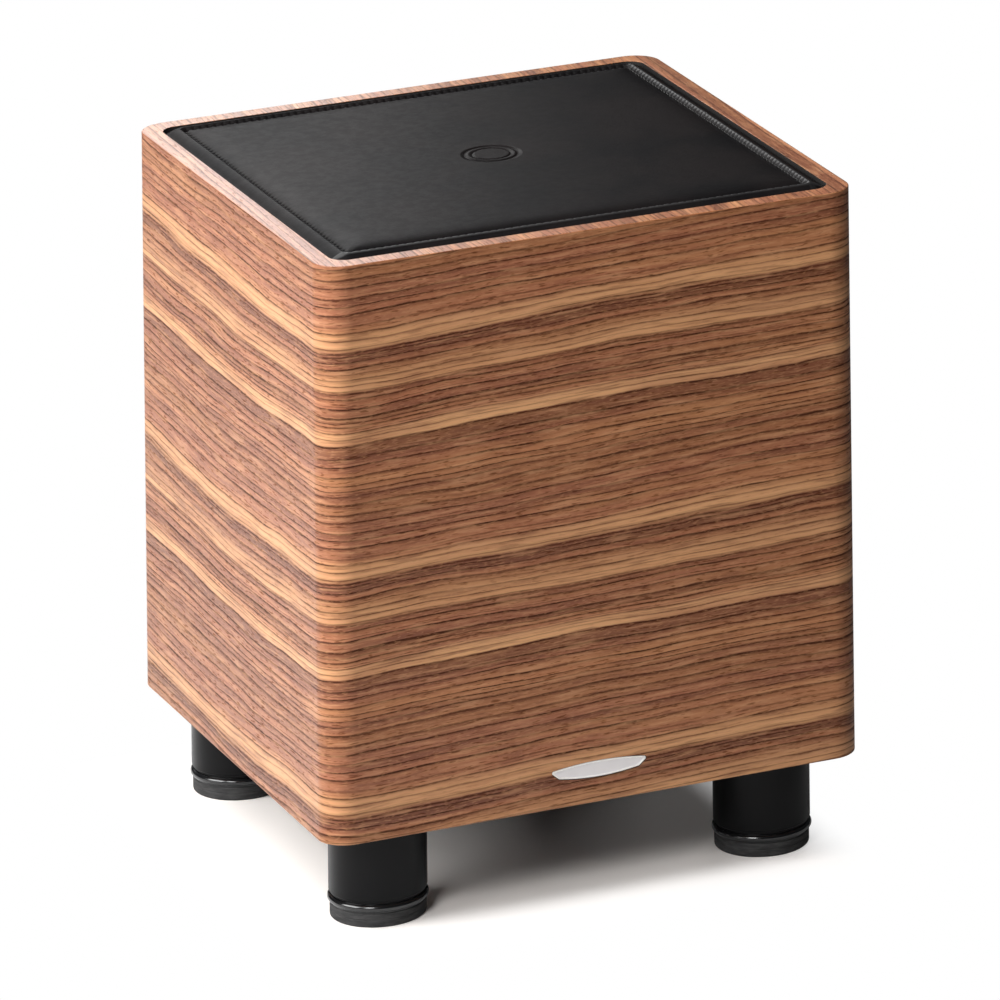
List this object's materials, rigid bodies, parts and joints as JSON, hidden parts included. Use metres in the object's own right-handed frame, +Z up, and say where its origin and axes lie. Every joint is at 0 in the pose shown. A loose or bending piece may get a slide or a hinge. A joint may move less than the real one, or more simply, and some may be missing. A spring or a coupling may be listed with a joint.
{
  "type": "powered subwoofer",
  "caption": "Down-firing powered subwoofer: a walnut-veneered cube with rounded upright edges, a stitched leather pad let into its top, round black feet and a recessed rear amplifier.",
  "frame": {"origin": "middle of the footprint on the floor, under the middle of the cabinet", "axes": "+Z up; the front, with the nameplate, faces -Y; +X is to the right seen from the front"},
  "size_m": [0.3, 0.3, 0.353],
  "materials": {
    "veneer": "horizontal-grained walnut veneer, satin lacquer",
    "board": "raw fibreboard",
    "black_board": "satin black paint on board",
    "leather": "black grained leather with a stitched border",
    "foam": "open-cell foam",
    "wadding": "white polyester wadding",
    "foot_black": "satin black lacquer, turned",
    "foot_rubber": "matte charcoal rubber",
    "gasket_rubber": "black foam rubber",
    "surround_rubber": "butyl rubber, low sheen",
    "silver": "brushed along its length",
    "steel": "zinc plated",
    "black_screw": "black oxide",
    "ferrite": "sintered ferrite",
    "cast_basket": "textured black coat on cast aluminium",
    "paper_cone": "coated pulp",
    "cloth": "resin-treated weave",
    "copper": "enamelled copper wire",
    "amp_plate": "fine-textured black powder coat",
    "heatsink_black": "black anodised extrusion",
    "plastic": "moulded, spark-eroded grain",
    "gloss_black": "polished moulding",
    "circuit_board": "green solder mask with parts",
    "gold": "gold plated",
    "lamp": "tinted lens",
    "tape": "yellow polyester tape",
    "cable": "soft sheath"
  },
  "bodies": {
    "cabinet": {"amp_board": "circuit_board", "amp_gasket": "gasket_rubber", "amp_panel": "amp_plate", "amp_screw_1": "black_screw", "amp_screw_2": "black_screw", "amp_screw_3": "black_screw", "amp_screw_4": "black_screw", "base_panel": "black_board", "cabinet_wrap": "veneer", "driver_basket": "cast_basket", "driver_gasket": "gasket_rubber", "driver_screw_1": "black_screw", "driver_screw_2": "black_screw", "driver_screw_3": "black_screw", "driver_screw_4": "black_screw", "foot_bolt_front_left": "steel", "foot_bolt_front_right": "steel", "foot_bolt_rear_left": "steel", "foot_bolt_rear_right": "steel", "foot_column_front_left": "foot_black", "foot_column_front_right": "foot_black", "foot_column_rear_left": "foot_black", "foot_column_rear_right": "foot_black", "foot_pad_front_left": "foot_rubber", "foot_pad_front_right": "foot_rubber", "foot_pad_rear_left": "foot_rubber", "foot_pad_rear_right": "foot_rubber", "heatsink": "heatsink_black", "leather_cover": "leather", "line_jack_left": "gold", "line_jack_right": "gold", "magnet_ring": "ferrite", "mains_inlet": "plastic", "motor_front_plate": "steel", "nameplate": "silver", "pad_board": "board", "pad_foam": "foam", "pole_yoke": "steel", "rocker_frame": "plastic", "speaker_cable": "cable", "speaker_input": "plastic", "spider": "cloth", "status_lamp": "lamp", "surround": "surround_rubber", "toggle_bush": "steel", "top_panel": "board", "transformer": "tape", "wadding_left": "wadding", "wadding_right": "wadding", "window_brace": "board"},
    "cone_assembly": {"cone": "paper_cone", "dust_cap": "paper_cone", "voice_coil": "copper"},
    "level_control": {"level_knob": "plastic"},
    "crossover_control": {"crossover_knob": "plastic"},
    "phase_control": {"phase_knob": "plastic"},
    "power_switch": {"power_rocker": "gloss_black"},
    "mode_switch": {"mode_toggle": "steel"},
    "fuse_holder": {"fuse_drawer": "plastic"}
  },
  "joints": [
    {"name": "cone_travel", "type": "slide", "parent": "cabinet", "child": "cone_assembly", "axis": [0, 0, 1], "range_m": [-0.008, 0.008], "stiffness_N_per_m": 2500, "deforming": ["surround", "spider"]},
    {"name": "level_turn", "type": "hinge", "parent": "cabinet", "child": "level_control", "pos_m": [0.068, 0.14, 0.272], "axis": [0, 1, 0], "range_deg": [-140, 140]},
    {"name": "crossover_turn", "type": "hinge", "parent": "cabinet", "child": "crossover_control", "pos_m": [0.068, 0.14, 0.232], "axis": [0, 1, 0], "range_deg": [-140, 140]},
    {"name": "phase_turn", "type": "hinge", "parent": "cabinet", "child": "phase_control", "pos_m": [0.068, 0.14, 0.192], "axis": [0, 1, 0], "range_deg": [-140, 140]},
    {"name": "power_rock", "type": "hinge", "parent": "cabinet", "child": "power_switch", "pos_m": [0.024, 0.1425, 0.126], "axis": [-1, 0, 0], "range_deg": [0, 20]},
    {"name": "mode_flick", "type": "hinge", "parent": "cabinet", "child": "mode_switch", "pos_m": [-0.068, 0.139, 0.24], "axis": [1, 0, 0], "range_deg": [-13, 13]},
    {"name": "fuse_drawer_slide", "type": "slide", "parent": "cabinet", "child": "fuse_holder", "axis": [0, 1, 0], "range_m": [0, 0.012]}
  ]
}
